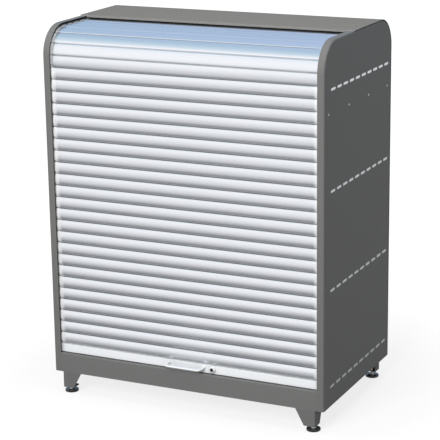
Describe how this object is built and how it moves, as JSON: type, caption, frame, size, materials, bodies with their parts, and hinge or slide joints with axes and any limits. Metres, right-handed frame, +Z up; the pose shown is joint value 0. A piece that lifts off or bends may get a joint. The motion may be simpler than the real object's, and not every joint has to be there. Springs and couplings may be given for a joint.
{
  "type": "roller shutter cabinet",
  "caption": "Low sheet-steel cabinet with a roller shutter of aluminium slats over its rounded top front, slotted sides, spill trays inside and tapered legs on levelling feet.",
  "frame": {"origin": "middle of the cabinet's box, on the floor under the feet", "axes": "+Z up, +X to the right seen from the front, -Y out of the front"},
  "size_m": [1, 0.6224, 1.277],
  "materials": {
    "side_grey": "fine powder coat, anthracite grey",
    "top_grey": "fine powder coat, mid grey",
    "plinth_grey": "fine powder coat, grey",
    "galvanised": "zinc-coated sheet",
    "slat_aluminium": "satin anodised",
    "guide_black": "black",
    "chrome": "polished",
    "steel": "zinc-plated",
    "seal_rubber": "matt",
    "foot_black": "glossy black"
  },
  "bodies": {
    "cabinet": {"side_left": "side_grey", "side_right": "side_grey", "top_cover": "top_grey", "back_panel": "side_grey", "plinth_panel": "plinth_grey", "floor_pan": "plinth_grey", "inner_back": "galvanised", "inner_roof": "galvanised", "sump_tray": "galvanised", "shelf_lower": "galvanised", "shelf_upper": "galvanised", "shelf_rail_left_1": "galvanised", "shelf_rail_left_2": "galvanised", "shelf_rail_left_3": "galvanised", "shelf_rail_left_4": "galvanised", "shelf_rail_right_1": "galvanised", "shelf_rail_right_2": "galvanised", "shelf_rail_right_3": "galvanised", "shelf_rail_right_4": "galvanised", "stiffener_left": "galvanised", "stiffener_right": "galvanised", "side_rivets": "steel", "back_screws": "steel", "guide_left": "guide_black", "guide_right": "guide_black", "strike_left": "galvanised", "strike_right": "galvanised", "upper_slats_set": "slat_aluminium", "tail_bar": "slat_aluminium", "balance_bracket_left": "galvanised", "balance_bracket_right": "galvanised", "leg_front_left": "plinth_grey", "leg_front_right": "plinth_grey", "leg_rear_left": "plinth_grey", "leg_rear_right": "plinth_grey", "leg_nuts": "steel", "leg_bolts": "steel"},
    "shutter": {"bottom_rail": "slat_aluminium", "rail_seal": "seal_rubber", "rail_cap_left": "guide_black", "rail_cap_right": "guide_black", "lower_slats_set": "slat_aluminium", "handle": "chrome", "handle_screws": "steel", "lock_housing": "chrome"},
    "lock": {"lock_plug": "steel", "lock_cam": "steel"},
    "latch_left": {"latch_rod_left": "galvanised"},
    "latch_right": {"latch_rod_right": "galvanised"},
    "balance": {"balance_shaft": "steel", "balance_wheels": "guide_black", "balance_spring": "steel"},
    "foot_front_left": {"foot_pad_front_left": "foot_black", "spindle_front_left": "steel"},
    "foot_front_right": {"foot_pad_front_right": "foot_black", "spindle_front_right": "steel"},
    "foot_rear_left": {"foot_pad_rear_left": "foot_black", "spindle_rear_left": "steel"},
    "foot_rear_right": {"foot_pad_rear_right": "foot_black", "spindle_rear_right": "steel"}
  },
  "joints": [
    {"name": "shutter_lift", "type": "slide", "parent": "cabinet", "child": "shutter", "axis": [0, 0, 1], "range_m": [0, 0.95], "deforming": ["lower_slats_set"]},
    {"name": "key_turn", "type": "hinge", "parent": "shutter", "child": "lock", "pos_m": [0.1, -0.2838, 0.163], "axis": [0, 1, 0], "range_deg": [0, 90]},
    {"name": "latch_left_slide", "type": "slide", "parent": "shutter", "child": "latch_left", "axis": [-1, 0, 0], "range_m": [0, 0.006]},
    {"name": "latch_right_slide", "type": "slide", "parent": "shutter", "child": "latch_right", "axis": [1, 0, 0], "range_m": [0, 0.006]},
    {"name": "balance_turn", "type": "hinge", "parent": "cabinet", "child": "balance", "pos_m": [0, -0.1338, 1.2203], "axis": [-1, 0, 0], "range_deg": [0, 1430]},
    {"name": "foot_front_left_height", "type": "slide", "parent": "cabinet", "child": "foot_front_left", "axis": [0, 0, 1], "range_m": [-0.012, 0.008]},
    {"name": "foot_front_right_height", "type": "slide", "parent": "cabinet", "child": "foot_front_right", "axis": [0, 0, 1], "range_m": [-0.012, 0.008]},
    {"name": "foot_rear_left_height", "type": "slide", "parent": "cabinet", "child": "foot_rear_left", "axis": [0, 0, 1], "range_m": [-0.012, 0.008]},
    {"name": "foot_rear_right_height", "type": "slide", "parent": "cabinet", "child": "foot_rear_right", "axis": [0, 0, 1], "range_m": [-0.012, 0.008]}
  ],
  "couplings": [
    {"joint": "key_turn", "follows": "latch_right_slide", "rad_per_m": 261.8},
    {"joint": "latch_left_slide", "follows": "latch_right_slide", "ratio": 1},
    {"joint": "balance_turn", "follows": "shutter_lift", "rad_per_m": 26.18}
  ]
}
